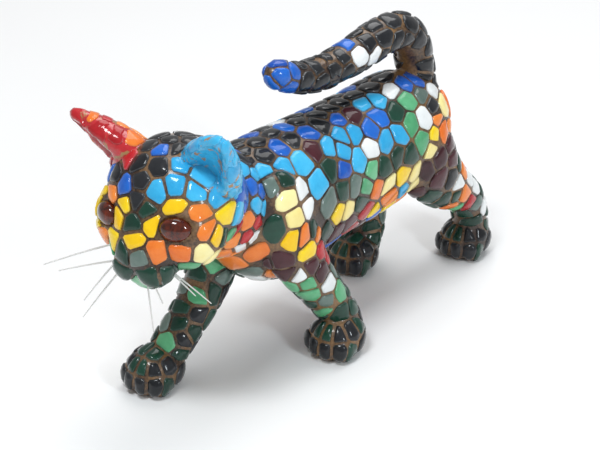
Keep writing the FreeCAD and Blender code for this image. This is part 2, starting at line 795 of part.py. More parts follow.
# Bands of the head from crown to throat, each from the nose round by way of its left: colours
HEAD_BANDS = [
    (72, "KKKKKK"),
    (52, "KKCKKKKORK"),
    (33, "KCCCCKKKKKORKB"),
    (14, "GYCCCBKBKBCORYOY"),
    (-5, "GYOYCRWGGWORMOYO"),
    (-24, "GGMMLOWGRWOGMOLG"),
    (-43, "LGGLOWGGWOGLG"),
    (-62, "GLGMGGML"),
]
NECK_COURSES = "KKCBCRWORGWOBRBCBK"
EYE_ROOM = 4.9
EYE_SPAN = 2.2


def lay_head(nearest, shift):
    for band, (latitude, colours) in enumerate(HEAD_BANDS):
        for j, letter in enumerate(colours):
            around = 2 * math.pi * (j + shift + 0.5 * (band % 2)) / len(colours) + spread(0.06)
            up = math.radians(latitude + 9 * shift + spread(2.5))
            wide = size("skull_width") / 2 + OUTSIDE
            long = size("skull_length") / 2 + OUTSIDE
            high = size("skull_depth") / 2 + OUTSIDE
            x, y = wide * math.cos(up) * math.sin(around), -long * math.cos(up) * math.cos(around)
            lay("head", "head", head_point(x, y, high * math.sin(up)), letter, nearest)


def lay_neck(nearest, shift):
    """Rings between the head and the torso."""
    for ring_number, y in enumerate((-78, -71, -64, -57)):
        for j, letter in enumerate(NECK_COURSES):
            angle = 2 * math.pi * (j + shift + 0.5 * (ring_number % 2)) / len(NECK_COURSES)
            guide = Vector(math.sin(angle) * 27, y + shift * 4, NECK_CENTRE[2] - 1 + math.cos(angle) * 29)
            lay("head", "head", guide, letter, nearest)


EAR_RINGS = [(0.14, 1.0), (0.36, 0.90), (0.57, 0.72), (0.77, 0.48), (0.92, 0.22)]


def lay_ear(name, back_colours, lining_colours):
    """Rings of tiles over the back and rims of an ear, and a lining of tiles in its cup."""
    base, axis, face, across = ear_frame(name)
    half = size("ear_width") / 2
    for r, (share, wide) in enumerate(EAR_RINGS):
        count = max(4, round(math.pi * half * wide * 1.7 / 7.6))
        for j in range(count):
            angle = 2 * math.pi * (j + 0.5 * (r % 2)) / count
            reach = half * wide
            arm = across * math.cos(angle) * (reach + OUTSIDE)
            arm = arm - face * math.sin(angle) * (reach * EAR_FLATNESS + OUTSIDE)
            letter = back_colours[(r * 3 + j) % len(back_colours)]
            if math.sin(angle) > -0.35:
                lay(name, "ears", base + axis * share + arm, letter, 4.8)
    for j, letter in enumerate(lining_colours):
        hollow = base + axis * (0.22 + 0.22 * j) + face * size("ear_width") * HOLLOW_SET
        lay(name, "ears", hollow, letter, 4.5)


def lay_from_afar(start, centre, letter, nearest):
    """Comes in from a far point until a casting is met, and sets a tile there if it has room."""
    step = (centre - start).normalize()
    for i in range(60):
        point = start + step * i
        met = [name for name, box in boxes.items() if box.isInside(point) and INSIDE[name](point) < 1]
        if met:
            if i > 0 and met[0] not in EARS:
                group = met[0] if met[0] in ("torso", "head", "tail") else "legs"
                lay(met[0], group, point - step * OUTSIDE, letter, nearest)
            return


def lay_leftovers(nearest, rows):
    """Covers what the courses left bare: where castings meet, and the lower legs."""
    for row in range(rows):
        y = -82 + row * 6
        centre = torso_section(min(max(y, -73), 79))[0]
        for k in range(20):
            angle = math.radians(18 * k + 9 * (row % 2))
            start = Vector(math.sin(angle) * 50, y, centre.z + math.cos(angle) * 56)
            courses = LEFT_COURSES if start.x > 0 else RIGHT_COURSES
            turned = math.degrees(min(angle, 2 * math.pi - angle))
            course = courses[min(max(round(turned / COURSE_ANGLE), 1), len(courses) - 1)]
            letter = course[min(max(round((y - COURSE_START) / COURSE_PITCH), 0), len(course) - 1)]
            lay_from_afar(start, centre, letter, nearest)
    for leg, path in LEG_PATHS.items():
        for level, (point, _, _, _, _) in enumerate(walk(path)):
            for k in range(10):
                angle = math.radians(36 * k + 18 * (level % 2))
                start = point + Vector(math.sin(angle), -math.cos(angle), 0) * 24
                lay_from_afar(start, point, "GEGLKG"[(k + level) % 6], nearest)


def lay_everything():
    """Places every tile: first the ones that are chosen, then fillers where a gap is left."""
    for x, y, z, letter in FACE:
        lay("head", "head", head_point(x, y, z), letter, 4.2)
    lay_ear("left_ear", "CCCCCC", "CC")
    lay_ear("right_ear", "ROORORR", "RO")
    for leg in LEG_PATHS:
        lay_paw(leg)
    for nearest, shift in ((NEAREST, 0.0), (FILL_NEAREST, 0.5), (FILL_NEAREST, 0.27)):
        lay_head(nearest, shift)
        lay_neck(nearest, shift)
        for leg, path in LEG_PATHS.items():
            rings = dict(enumerate(LEG_RINGS[leg]))
            lay_limb(leg, "legs", path[:-1], size("leg_girth") / 2, rings, nearest, shift)
        lay_limb("tail", "tail", TAIL_PATH, size("tail_girth") / 2, TAIL_RINGS, nearest, shift)
        lay_torso(nearest, shift)
    lay_leftovers(6.2, 28)
    lay_leftovers(5.5, 7)


# --- tile shapes ----------------------------------------------------------------------------


def half_planes(tile):
    """Limits of a tile in its own plane, as (direction, distance): its neighbours, eyes, floor."""
    limits = []
    joint = size("grout_joint") / 2
    for other in tiles:
        gap = other.place - tile.place
        if other is tile or gap.Length > REACH or other.out.dot(tile.out) < -0.1:
            continue
        flat = gap - tile.out * gap.dot(tile.out)
        if flat.Length > 0.8:
            halfway = gap.Length ** 2 / (2 * flat.Length)
            limits.append((flat.normalize(), halfway - joint))
    for side in (1, -1):
        for offset in (-EYE_SPAN, EYE_SPAN):
            x, y, z = EYE_CENTRE
            gap = head_point(side * (x + offset), y + offset * 0.5, z) - tile.place
            flat = gap - tile.out * gap.dot(tile.out)
            room = flat.Length - EYE_ROOM
            if gap.Length < REACH and room > 0:
                limits.append((flat.normalize(), room))
    down = -UP + tile.out * tile.out.z
    lowest = tile.place.z + min(tile.out.z, 0) * size("tile_thickness")
    if tile.place.z < 12 and down.Length > 0.3:
        to_floor = (lowest - FLOOR_GAP) / down.Length
        limits.append((down.normalize(), to_floor))
    return limits


def clip(corners, direction, distance):
    """Keeps the part of a flat polygon within a distance along a direction."""
    kept = []
    for a, b in zip(corners, corners[1:] + corners[:1]):
        over_a, over_b = a.dot(direction) - distance, b.dot(direction) - distance
        if over_a <= 0:
            kept.append(a)
        if over_a * over_b < 0:
            kept.append(a + (b - a) * (over_a / (over_a - over_b)))
    return kept


def outline(tile):
    """The corners of a tile from its middle, in its own plane, clear of its neighbours."""
    along = tile.out.cross(LEFT if abs(tile.out.x) < 0.7 else UP).normalize()
    across = tile.out.cross(along)
    on_paw = tile.group == "legs" and tile.place.z < PAW_TOP
    widest = PAW_WIDEST if on_paw else WIDEST[tile.group]
    corners = []
    for j in range(8):
        angle = math.pi * (j + 0.5) / 4
        corners.append((along * math.cos(angle) + across * math.sin(angle)) * widest)
    for direction, distance in half_planes(tile):
        corners = clip(corners, direction, distance)
        if len(corners) < 3:
            return []
    tidy = []
    for corner in corners:
        if not tidy or (corner - tidy[-1]).Length > 0.9:
            tidy.append(corner)
    while len(tidy) > 3 and (tidy[0] - tidy[-1]).Length < 0.9:
        tidy.pop()
    return tidy


def buried(point):
    """Whether a point lies inside any casting, with a little allowance for its true curve."""
    return covered(point, None, 0.97)


def area(corners):
    total = Vector(0, 0, 0)
    for a, b in zip(corners, corners[1:] + corners[:1]):
        total = total + a.cross(b)
    return total.Length / 2


def tile_solid(tile):
    """A flat broken tile bedded on its core; corners that would dig in are nibbled back."""
    bed = tile.place + tile.out * 0.02
    rise = tile.out * size("tile_thickness")
    corners = []
    for corner in outline(tile):
        share = 1.0
        while share > 0.3 and (buried(bed + corner * share) or buried(bed + corner * share + rise)):
            share -= 0.14
        corners.append(corner * share)
    if len(corners) < 3 or area(corners) < SMALLEST_AREA:
        return None
    rim = [bed + corner for corner in corners]
    face = Part.Face(Part.makePolygon(rim + rim[:1]))
    return face.extrude(rise)


def build_tiles():
    lay_everything()
    groups = {}
    for tile in tiles:
        solid = tile_solid(tile)
        if solid is not None:
            groups.setdefault(f"{tile.group}_tiles_{COLOURS[tile.colour]}", []).append(solid)
    for label, solids in sorted(groups.items()):
        field = doc.addObject("Part::Feature", label + "_field")
        field.Shape = Part.makeCompound(solids)
        node(label, field)


build_tiles()
doc.recompute()

# --- checks and export ----------------------------------------------------------------------


def centre_on_footprint():
    """Moves every sub-part so that the figure's box stands on the middle of the origin."""
    whole = FreeCAD.BoundBox()
    for holder in nodes.values():
        whole.add(holder.Shape.optimalBoundingBox())
    shift = Vector(-whole.Center.x, -whole.Center.y, 0)
    print(f"box {whole.XLength:.2f} x {whole.YLength:.2f} x {whole.ZLength:.2f}, lowest {whole.ZMin:.3f}")
    print(f"shift {shift.x:.3f} {shift.y:.3f}")
    for holder in nodes.values():
        holder.Placement = Placement(shift, Rotation())
    doc.recompute()


def check_and_export():
    for thing in doc.Objects:
        if "Invalid" in thing.State or "Error" in thing.State:
            raise RuntimeError(f"{thing.Label} failed: {thing.State}")
    os.makedirs("parts", exist_ok=True)
    for stale in os.listdir("parts"):
        os.remove(os.path.join("parts", stale))
    for label, holder in nodes.items():
        shape = holder.Shape
        if shape.isNull() or not shape.isValid() or shape.Volume <= 0:
            raise RuntimeError(f"{label} has no valid solid")
        shape.exportStep(f"parts/{label}.step")
        print(f"{label}: {len(shape.Solids)} solids, {shape.Volume / 1000:.2f} cm3")


centre_on_footprint()
check_and_export()
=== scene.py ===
# %% [markdown]
# # A walking cat in broken-tile mosaic
# The figure is a handful of resin castings, buttered with brown grout, and some seven hundred
# small glazed tiles pressed into it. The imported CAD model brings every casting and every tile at
# its true size and place. This script keeps those places and gives them their real surfaces: soft
# grout, pillowy tiles that follow the body, glass eyes and nylon whiskers.

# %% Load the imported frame
import math
import random
import bmesh
import bpy
import numpy as np
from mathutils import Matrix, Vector
from mathutils.bvhtree import BVHTree
from mathutils.kdtree import KDTree


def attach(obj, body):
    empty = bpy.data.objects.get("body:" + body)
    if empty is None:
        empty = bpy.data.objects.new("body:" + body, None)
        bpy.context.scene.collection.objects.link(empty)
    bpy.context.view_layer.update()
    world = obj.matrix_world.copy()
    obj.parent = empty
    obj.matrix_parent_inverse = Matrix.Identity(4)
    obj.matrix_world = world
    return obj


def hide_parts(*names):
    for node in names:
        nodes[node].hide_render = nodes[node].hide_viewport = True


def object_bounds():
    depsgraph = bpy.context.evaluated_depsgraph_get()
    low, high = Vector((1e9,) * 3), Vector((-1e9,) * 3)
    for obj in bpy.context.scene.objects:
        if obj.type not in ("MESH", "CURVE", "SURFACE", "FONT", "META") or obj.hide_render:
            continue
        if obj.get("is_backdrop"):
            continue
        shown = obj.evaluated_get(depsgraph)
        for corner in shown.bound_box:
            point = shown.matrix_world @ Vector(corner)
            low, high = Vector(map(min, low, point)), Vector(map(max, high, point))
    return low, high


MM = 0.001
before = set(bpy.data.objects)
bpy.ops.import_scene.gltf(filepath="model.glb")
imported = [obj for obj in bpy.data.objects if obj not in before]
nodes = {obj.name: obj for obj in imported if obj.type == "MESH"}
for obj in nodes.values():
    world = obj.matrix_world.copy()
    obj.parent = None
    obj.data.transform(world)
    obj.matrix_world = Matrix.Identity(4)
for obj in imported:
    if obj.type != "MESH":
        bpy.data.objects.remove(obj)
cad_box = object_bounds()
chance = random.Random(23)
CASTINGS = sorted(name for name in nodes if name.endswith("_core") or name.endswith("_ear"))
TILE_NODES = sorted(name for name in nodes if "_tiles_" in name)
EYES = ("left_eye", "right_eye")
print(f"{len(nodes)} nodes: {len(CASTINGS)} castings, {len(TILE_NODES)} groups of tiles")

# %% [markdown]
# ## Shader maths that reads like maths
# A colour that varies is a chain of small nodes. Writing such a chain as `0.3 + noise * 0.5` is far
# easier to read than a list of links, so one small class stands for a socket and knows the
# operators, and a bench holds the node tree of one material.

# %% Sockets that add and multiply
class Wire:
    """The output of a node, usable in arithmetic."""

    def __init__(self, bench, socket):
        self.bench = bench
        self.socket = socket

    def maths(self, operation, a, b):
        return self.bench.node("ShaderNodeMath", {"operation": operation}, {0: a, 1: b})

    def __add__(self, other):
        return self.maths("ADD", self, other)

    def __sub__(self, other):
        return self.maths("SUBTRACT", self, other)

    def __rsub__(self, other):
        return self.maths("SUBTRACT", other, self)

    def __mul__(self, other):
        return self.maths("MULTIPLY", self, other)

    __radd__ = __add__
    __rmul__ = __mul__

    def limited(self):
        """The same value, held between 0 and 1."""
        return self.bench.node("ShaderNodeClamp", {}, {"Value": self})


class Bench:
    """The node tree of one material, and its way of adding nodes."""

    def __init__(self, name):
        self.material = bpy.data.materials.new(name)
        self.material.use_nodes = True
        self.tree = self.material.node_tree
        self.tree.nodes.clear()

    def node(self, kind, settings=None, values=None, output=0):
        made = self.tree.nodes.new(kind)
        for key, value in (settings or {}).items():
            setattr(made, key, value)
        for key, value in (values or {}).items():
            if isinstance(value, Wire):
                self.tree.links.new(value.socket, made.inputs[key])
            else:
                made.inputs[key].default_value = value
        return Wire(self, made.outputs[output]) if made.outputs else None

    def noise(self, scale, detail=2.0, distortion=0.0, place=None):
        """Cloudy values around 0.5; scale is in clouds per metre."""
        place = place or self.node("ShaderNodeTexCoord", output="Object")
        values = {"Vector": place, "Scale": scale, "Detail": detail, "Distortion": distortion}
        return self.node("ShaderNodeTexNoise", {}, values)

    def blend(self, share, first, second):
        """One colour fading into another as share goes from 0 to 1."""
        values = {"Factor": share, 6: first, 7: second}
        return self.node("ShaderNodeMix", {"data_type": "RGBA"}, values, output=2)

    def attribute(self, name):
        return self.node("ShaderNodeAttribute", {"attribute_name": name}, output="Fac")

    def bump(self, height, depth):
        """Surface relief; depth is how many metres a height of 1 stands up."""
        return self.node("ShaderNodeBump", {}, {"Height": height, "Strength": 1.0, "Distance": depth})

    def finish(self, **sockets):
        """Closes the material with a Principled surface; an underscore stands for a space."""
        values = {name.replace("_", " "): value for name, value in sockets.items()}
        surface = self.node("ShaderNodeBsdfPrincipled", {}, values)
        self.node("ShaderNodeOutputMaterial", {}, {"Surface": surface})
        return self.material

# %% [markdown]
# ## Glazes
# Each tile was painted by hand with a glossy glaze, so its colour is never flat: it pools darker in
# some places. A pale line along many edges is a painted highlight, the glint of light on the rounded rim.
# Every tile carries two attributes, `tone`, a number of its own, and `rim`, which is 1 at its edge
# and 0 in its middle. The glaze reads both, so one material serves every tile of a colour.

# %% Glaze recipes
GLAZES = {
    "black": ((0.004, 0.005, 0.007), (0.022, 0.024, 0.028)),
    "cobalt": ((0.006, 0.050, 0.33), (0.015, 0.17, 0.66)),
    "cyan": ((0.008, 0.28, 0.58), (0.07, 0.52, 0.83)),
    "white": ((0.70, 0.73, 0.73), (0.91, 0.92, 0.91)),
    "dark_green": ((0.003, 0.022, 0.014), (0.010, 0.060, 0.036)),
    "light_green": ((0.045, 0.26, 0.11), (0.15, 0.50, 0.25)),
    "grey_green": ((0.07, 0.11, 0.095), (0.17, 0.23, 0.20)),
    "yellow": ((0.84, 0.46, 0.004), (0.95, 0.72, 0.010)),
    "cream": ((0.85, 0.68, 0.22), (0.94, 0.85, 0.42)),
    "orange": ((0.72, 0.13, 0.012), (0.92, 0.30, 0.05)),
    "red": ((0.30, 0.006, 0.010), (0.62, 0.020, 0.030)),
    "plum": ((0.018, 0.004, 0.006), (0.085, 0.016, 0.024)),
}


def rgba(colour):
    return (*colour, 1.0)


def glaze(name, deep, pale):
    """Brushed glaze under clear lacquer; deep and pale are its two ends."""
    bench = Bench("glaze_" + name)
    tone, rim = bench.attribute("tone"), bench.attribute("rim")
    clouds = bench.noise(170, 3.0, 0.6)
    strokes = bench.noise(620, 2.0, 1.2)
    share = (tone * 0.55 + clouds * 0.75 + strokes * 0.25 - 0.28).limited()
    body = bench.blend(share, rgba(deep), rgba(pale))
    # painted highlight: the pale tint below is mixed in by the edge share, in patches along the outer rim
    # of each tile. It stands for the glint of light on the rounded edge.
    painted_rim_glint = tuple(0.45 * c + 0.20 for c in pale)
    edge = ((rim - 0.86) * 6.0).limited() * (clouds * 2.4 - 0.75).limited() * 0.55
    colour = bench.blend(edge, body, rgba(painted_rim_glint))
    relief = bench.bump(bench.noise(260, 1.5) * 0.8 + strokes * 0.2, 0.00035)
    return bench.finish(
        Base_Color=colour, Roughness=0.25 + strokes * 0.20, Normal=relief, Specular_IOR_Level=0.1,
        Coat_Weight=1.0, Coat_Roughness=0.025, Coat_IOR=1.38,
    )


glazes = {name: glaze(name, *ends) for name, ends in GLAZES.items()}
print("glazes:", ", ".join(glazes))

# %% [markdown]
# ## Grout
# The joints are filled with a grout that was stained and lacquered: dark umber in the hollows, worn
# to tan and gold on the ridges. The two colours are mixed by a broad cloud, for patches, and a fine
# one, for grain. The ears are not tiled to the edge, so their rims carry colour with bare patches.

# %% Grout and ear slip
UMBER = (0.030, 0.012, 0.005)
TAN = (0.33, 0.175, 0.062)


def grout():
    bench = Bench("grout")
    patches = bench.noise(55, 2.0, 0.4)
    grain = bench.noise(900, 4.0)
    share = (patches * 2.4 + grain * 1.0 - 1.42).limited()
    colour = bench.blend(share, rgba(UMBER), rgba(TAN))
    relief = bench.bump(grain * 0.6 + bench.noise(330, 2.0) * 0.4, 0.0005)
    return bench.finish(
        Base_Color=colour, Roughness=0.34 + grain * 0.25, Normal=relief, IOR=1.5,
        Coat_Weight=0.45, Coat_Roughness=0.12, Coat_IOR=1.5,
    )


def slip(name, deep, pale):
    """Brushed colour over grout, worn through in patches."""
    bench = Bench(name)
    clouds = bench.noise(120, 3.0, 0.5)
    worn = ((bench.noise(210, 3.0, 1.0) - 0.55) * 14).limited()
    body = bench.blend(clouds.limited(), rgba(deep), rgba(pale))
    colour = bench.blend(worn, body, rgba(TAN))
    relief = bench.bump(bench.noise(300, 2.0), 0.0006)
    return bench.finish(
        Base_Color=colour, Roughness=0.16 + worn * 0.25, Normal=relief, IOR=1.5,
        Coat_Weight=0.6, Coat_Roughness=0.06, Coat_IOR=1.5,
    )


GROUT = grout()
EAR_SLIPS = {
    "left_ear": slip("left_ear_slip", *GLAZES["cyan"]),
    "right_ear": slip("right_ear_slip", *GLAZES["red"]),
}
print("ear slips:", ", ".join(EAR_SLIPS))

# %% [markdown]
# ## Glass, nylon and wood
# The eyes are glass cabochons backed with dark brown, so they are a near-black red-brown body under
# a hard clear coat. The whiskers are clear nylon bristle, which scatters light and looks grey-white.

# %% Eye, whisker and pin finishes
def eye_glass():
    bench = Bench("eye_glass")
    swirl = bench.noise(240, 3.0, 1.5)
    share = (swirl * 2.0 - 0.6).limited()
    colour = bench.blend(share, rgba((0.022, 0.003, 0.001)), rgba((0.16, 0.020, 0.005)))
    return bench.finish(
        Base_Color=colour, Roughness=0.15, Specular_IOR_Level=0.1, Coat_Weight=1.0,
        Coat_Roughness=0.01, Coat_IOR=1.5,
    )


def nylon():
    bench = Bench("whisker_nylon")
    return bench.finish(
        Base_Color=rgba((0.78, 0.77, 0.74)), Roughness=0.25, IOR=1.5, Transmission_Weight=0.25,
        Coat_Weight=0.4, Coat_Roughness=0.1,
    )


def dowel_wood():
    bench = Bench("pin_wood")
    grain = bench.noise(300, 3.0, 2.0)
    colour = bench.blend(grain.limited(), rgba((0.30, 0.17, 0.08)), rgba((0.52, 0.34, 0.19)))
    return bench.finish(Base_Color=colour, Roughness=0.6)


EYE, NYLON, WOOD = eye_glass(), nylon(), dowel_wood()
print("finishes:", EYE.name, NYLON.name, WOOD.name)

# %% [markdown]
# ## A soft bed of grout
# The CAD castings meet in hard creases, while on the figure the grout runs smoothly from leg to
# body. So the castings are copied into one mesh, which is remeshed into an even skin, rubbed smooth
# and swollen by the depth of the grout. Everything else is laid on this bed.

# %% Build the bed
GROUT_DEPTH = 0.85 * MM
SKIN_CELL = 1.05 * MM
RUBS = 9


def new_object(name, mesh):
    made = bpy.data.objects.new(name, mesh)
    bpy.context.scene.collection.objects.link(made)
    return made


def joined_copy(names):
    """A bmesh with copies of CAD nodes, their loose triangles joined at the corners."""
    whole = bmesh.new()
    for name in names:
        whole.from_mesh(nodes[name].data)
    bmesh.ops.remove_doubles(whole, verts=whole.verts, dist=1e-6)
    return whole


def settled(thing):
    """The object with its modifiers made part of a plain mesh."""
    evaluated = thing.evaluated_get(bpy.context.evaluated_depsgraph_get())
    mesh = bpy.data.meshes.new_from_object(evaluated)
    name = thing.name
    bpy.data.objects.remove(thing)
    return new_object(name, mesh)


def make_bed():
    mesh = bpy.data.meshes.new("bed")
    copy = joined_copy(CASTINGS)
    copy.to_mesh(mesh)
    copy.free()
    bed = new_object("bed", mesh)
    weld = bed.modifiers.new("weld", "REMESH")
    weld.mode = "VOXEL"
    weld.voxel_size = SKIN_CELL
    rub = bed.modifiers.new("rub", "SMOOTH")
    rub.factor = 0.5
    rub.iterations = RUBS
    swell = bed.modifiers.new("swell", "DISPLACE")
    swell.mid_level = 0.0
    swell.strength = GROUT_DEPTH
    bed = settled(bed)
    for vertex in bed.data.vertices:
        vertex.co.z = max(vertex.co.z, 0.0)
    bed.data.shade_smooth()
    return bed


bed = make_bed()
bed_top = max(corner[2] for corner in bed.bound_box)
print(f"bed of {len(bed.data.polygons)} faces, height {bed_top / MM:.1f} mm")

# %% [markdown]
# The bed is one skin, but the figure is several castings. Each face of the skin goes to the casting
# it lies nearest to, and the open cut of each part is closed, so that every casting keeps a whole,
# solid-looking piece of its own. The soft shading of the whole skin is copied across, so that no
# seam shows.

# %% Share the bed among the castings
OUT_OF_REACH = 20 * MM


def tree_of(name):
    copy = joined_copy([name])
    tree = BVHTree.FromBMesh(copy)
    copy.free()
    return tree


def bed_normals():
    """The smooth normal of each vertex of the bed."""
    normals = np.empty(len(bed.data.vertices) * 3, np.float32)
    bed.data.vertex_normals.foreach_get("vector", normals)
    return normals.reshape(-1, 3)


def share_bed():
    trees = [tree_of(name) for name in CASTINGS]
    owners = []
    for polygon in bed.data.polygons:
        reach = [tree.find_nearest(polygon.center, OUT_OF_REACH)[3] for tree in trees]
        owners.append(min(range(len(trees)), key=lambda i: 1.0 if reach[i] is None else reach[i]))
    normals = bed_normals()
    for number, name in enumerate(CASTINGS):
        part = bmesh.new()
        part.from_mesh(bed.data)
        part.faces.ensure_lookup_table()
        others = [face for face in part.faces if owners[face.index] != number]
        source = part.verts.layers.int.new("source")
        for vertex in part.verts:
            vertex[source] = vertex.index
        bmesh.ops.delete(part, geom=others, context="FACES")
        rims = [edge for edge in part.edges if edge.is_boundary]
        bmesh.ops.holes_fill(part, edges=rims, sides=0)
        bmesh.ops.triangulate(part, faces=[face for face in part.faces if len(face.verts) > 4])
        came_from = [vertex[source] for vertex in part.verts]
        mesh = bpy.data.meshes.new(name + "_bed")
        part.to_mesh(mesh)
        part.free()
        mesh.attributes.remove(mesh.attributes["source"])
        mesh.shade_smooth()
        mesh.normals_split_custom_set_from_vertices([normals[i] for i in came_from])
        mesh.materials.append(EAR_SLIPS.get(name, GROUT))
        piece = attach(new_object(name + "_bed", mesh), "root")
        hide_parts(name)
        print(f"{piece.name}: {len(mesh.polygons)} faces")


share_bed()

# %% [markdown]
# ## Tiles that follow the body
# In the CAD model a tile is a flat slab that touches its casting. On the figure tiles are pillowy
# and sit flush on the curve. So each slab gives only its outline, which is rounded, filled with
# rings of points and given a height for every ring. A Geometry Nodes tree then drapes all tiles of
# a group on the bed: it looks up the nearest spot of the bed and its smooth normal for every point,
# and lifts the point along that normal by its height.

# %% The draping tree
def node_in(tree, kind, **settings):
    made = tree.nodes.new(kind)
    for key, value in settings.items():
        setattr(made, key, value)
    return made


def new_tree(name, inputs):
    """A Geometry Nodes tree with a geometry socket each way and the named inputs."""
    tree = bpy.data.node_groups.new(name, "GeometryNodeTree")
    tree.interface.new_socket("Geometry", in_out="INPUT", socket_type="NodeSocketGeometry")
    tree.interface.new_socket("Geometry", in_out="OUTPUT", socket_type="NodeSocketGeometry")
    for title, kind in inputs:
        tree.interface.new_socket(title, in_out="INPUT", socket_type=kind)
    return tree, node_in(tree, "NodeGroupInput"), node_in(tree, "NodeGroupOutput")


def drape_tree():
    tree, start, end = new_tree(
        "drape_tiles",
        [("Bed", "NodeSocketObject"), ("Relief", "NodeSocketFloat"), ("Glaze", "NodeSocketMaterial")],
    )
    link = tree.links.new
    info = node_in(tree, "GeometryNodeObjectInfo", transform_space="RELATIVE")
    spot = node_in(tree, "GeometryNodeSampleNearestSurface", data_type="FLOAT_VECTOR")
    tilt = node_in(tree, "GeometryNodeSampleNearestSurface", data_type="FLOAT_VECTOR")
    place = node_in(tree, "GeometryNodeInputPosition")
    smooth_normal = node_in(tree, "GeometryNodeInputNamedAttribute", data_type="FLOAT_VECTOR")
    smooth_normal.inputs["Name"].default_value = "smooth_normal"
    rise = node_in(tree, "GeometryNodeInputNamedAttribute", data_type="FLOAT")
    rise.inputs["Name"].default_value = "rise"
    height = node_in(tree, "ShaderNodeMath", operation="MULTIPLY")
    lift = node_in(tree, "ShaderNodeVectorMath", operation="SCALE")
    put = node_in(tree, "ShaderNodeVectorMath", operation="ADD")
    move = node_in(tree, "GeometryNodeSetPosition")
    paint = node_in(tree, "GeometryNodeSetMaterial")
    real = node_in(tree, "GeometryNodeRealizeInstances")
    link(start.outputs["Bed"], info.inputs["Object"])
    for sample, value in ((spot, place.outputs["Position"]), (tilt, smooth_normal.outputs["Attribute"])):
        link(info.outputs["Geometry"], sample.inputs["Mesh"])
        link(value, sample.inputs["Value"])
    link(rise.outputs["Attribute"], height.inputs[0])
    link(start.outputs["Relief"], height.inputs[1])
    link(tilt.outputs["Value"], lift.inputs[0])
    link(height.outputs[0], lift.inputs["Scale"])
    link(spot.outputs["Value"], put.inputs[0])
    link(lift.outputs[0], put.inputs[1])
    link(start.outputs["Geometry"], move.inputs["Geometry"])
    link(put.outputs[0], move.inputs["Position"])
    link(move.outputs["Geometry"], real.inputs["Geometry"])
    link(real.outputs["Geometry"], paint.inputs["Geometry"])
    link(start.outputs["Glaze"], paint.inputs["Material"])
    link(paint.outputs["Geometry"], end.inputs["Geometry"])
    return tree


def run_tree(thing, tree, **values):
    """Puts a tree on an object with its inputs set, and settles the result."""
    modifier = thing.modifiers.new(tree.name, "NODES")
    modifier.node_group = tree
    for item in tree.interface.items_tree:
        if item.in_out == "INPUT" and item.name.replace(" ", "_") in values:
            modifier[item.identifier] = values[item.name.replace(" ", "_")]
    return settled(thing)


field = bed.data.attributes.new("smooth_normal", "FLOAT_VECTOR", "POINT")
field.data.foreach_set("vector", bed_normals().ravel())
DRAPE = drape_tree()
print("draping tree inputs:", [item.name for item in DRAPE.interface.items_tree if item.in_out == "INPUT"])

# %% [markdown]
# A slab's outline is found without knowing how the CAD file was cut into triangles: the way a slab
# faces is the direction in which most of its area looks, and the corners on its lower side, taken
# in turn round the middle, are the outline. Python's sets have no fixed order, and the random draws
# that follow go from tile to tile, so slabs and corners are taken in the order of the mesh.

# %% Read the slabs
bed_tree = BVHTree.FromPolygons(
    [vertex.co for vertex in bed.data.vertices], [polygon.vertices for polygon in bed.data.polygons]
)


def islands(mesh):
    """The connected solids of a bmesh, each as a list of faces, in the order of their first faces."""
    waiting = set(mesh.faces)
    for first in mesh.faces:
        if first not in waiting:
            continue
        waiting.remove(first)
        found, edge_of_search = [], [first]
        while edge_of_search:
            face = edge_of_search.pop()
            found.append(face)
            for edge in face.edges:
                for other in edge.link_faces:
                    if other in waiting:
                        waiting.remove(other)
                        edge_of_search.append(other)
        yield found


def corners_of(faces):
    """The corners of some faces, once each, in the order in which the faces name them."""
    return np.array([tuple(vertex.co) for vertex in dict.fromkeys(v for face in faces for v in face.verts)])


def slab_outline(faces):
    """Centre of a slab's bedded side, two directions in its plane, and its corners in turn."""
    corners = corners_of(faces)
    middle = corners.mean(axis=0)
    areas = sum(face.calc_area() * np.outer(face.normal, face.normal) for face in faces)
    out = np.linalg.eigh(areas)[1][:, -1]
    nearest = bed_tree.find_nearest(Vector(middle))
    if np.dot(out, nearest[1]) < 0:
        out = -out
    heights = (corners - middle) @ out
    low = corners[heights < 0]
    along = low[0] - low.mean(axis=0)
    along -= out * np.dot(along, out)
    along /= np.linalg.norm(along)
    across = np.cross(out, along)
    centre = low.mean(axis=0)
    flat = np.stack([(low - centre) @ along, (low - centre) @ across], axis=1)
    flat = flat[np.argsort(np.arctan2(flat[:, 1], flat[:, 0]))]
    return centre, along, across, flat


CORNER_CUT = 0.13
SECOND_CUT = 0.25


def rounded(flat):
    """Trims every corner by a share of its two sides, and three- or four-sided tiles twice."""
    for cut in (CORNER_CUT, SECOND_CUT) if len(flat) < 5 else (CORNER_CUT,):
        following = np.roll(flat, -1, axis=0)
        flat = np.stack([flat * (1 - cut) + following * cut, flat * cut + following * (1 - cut)], axis=1)
        flat = flat.reshape(-1, 2)
    return flat


# %% [markdown]
# A mosaic maker cuts the last tiles to fill the gaps, so that the joints come out even. The slabs
# keep clear of every crease, which leaves bare patches there. So each corner moves outwards until
# half of the room to its nearest neighbour, less a joint, is used up. The middle of an edge that
# has much room becomes a corner too. The eyes count as neighbours, and they don't grow, so a tile
# may use all the room up to them. Slivers that nobody would set are left out.

# %% Even out the joints
JOINT = 1.0 * MM
MOST_GROWTH = 2.6 * MM
EDGE_GROWTH = 0.8 * MM
THINNEST = 2.3 * MM
SAMPLES = 6
EYE_OWNER = -1


def in_space(slab, flat):
    """Points in the plane of a slab as points in space."""
    centre, along, across, _ = slab
    return centre + np.outer(flat[:, 0], along) + np.outer(flat[:, 1], across)


def edge_points(flat):
    """Points spaced along an outline."""
    following = np.roll(flat, -1, axis=0)
    shares = np.linspace(0, 1, SAMPLES, endpoint=False)
    return np.concatenate([flat * (1 - share) + following * share for share in shares])


def thinness(flat):
    """The width of an outline across its narrow way."""
    narrow = np.linalg.svd(flat - flat.mean(axis=0), full_matrices=False)[2][1]
    return np.ptp(flat @ narrow)


